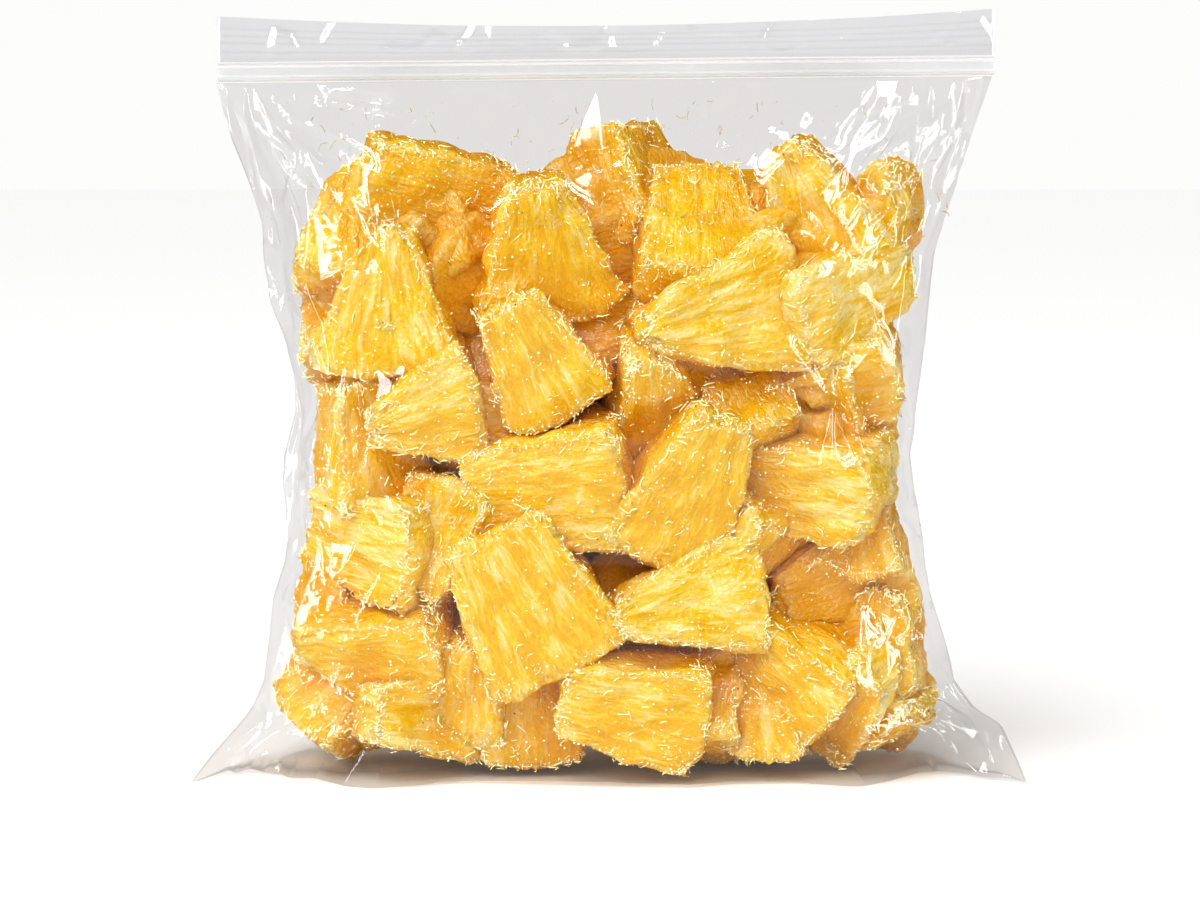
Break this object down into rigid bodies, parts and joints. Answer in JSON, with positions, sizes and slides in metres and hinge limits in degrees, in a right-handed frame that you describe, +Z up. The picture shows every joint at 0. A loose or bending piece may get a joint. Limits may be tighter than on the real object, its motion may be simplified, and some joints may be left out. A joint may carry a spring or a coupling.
{
  "type": "frozen fruit bag",
  "caption": "Clear press-seal freezer bag that stands on its base, packed full of frozen pineapple wedges, with a closed zip seal and two opening lips.",
  "frame": {"origin": "middle of the bag's base, on the surface that it stands on", "axes": "+X along the press seal, towards the right of the front; +Y towards the back; +Z up"},
  "size_m": [0.1912, 0.057, 0.1766],
  "materials": {
    "fruit": "moist frozen pineapple behind clear film",
    "seal_plastic": "clear moulded polyethylene rail",
    "clear_film": "glossy clear polyethylene film"
  },
  "bodies": {
    "root": {"bag": "fruit", "seal_rail_front": "seal_plastic", "seal_rail_back": "seal_plastic", "lip_front": "clear_film", "lip_back": "clear_film"}
  },
  "joints": []
}
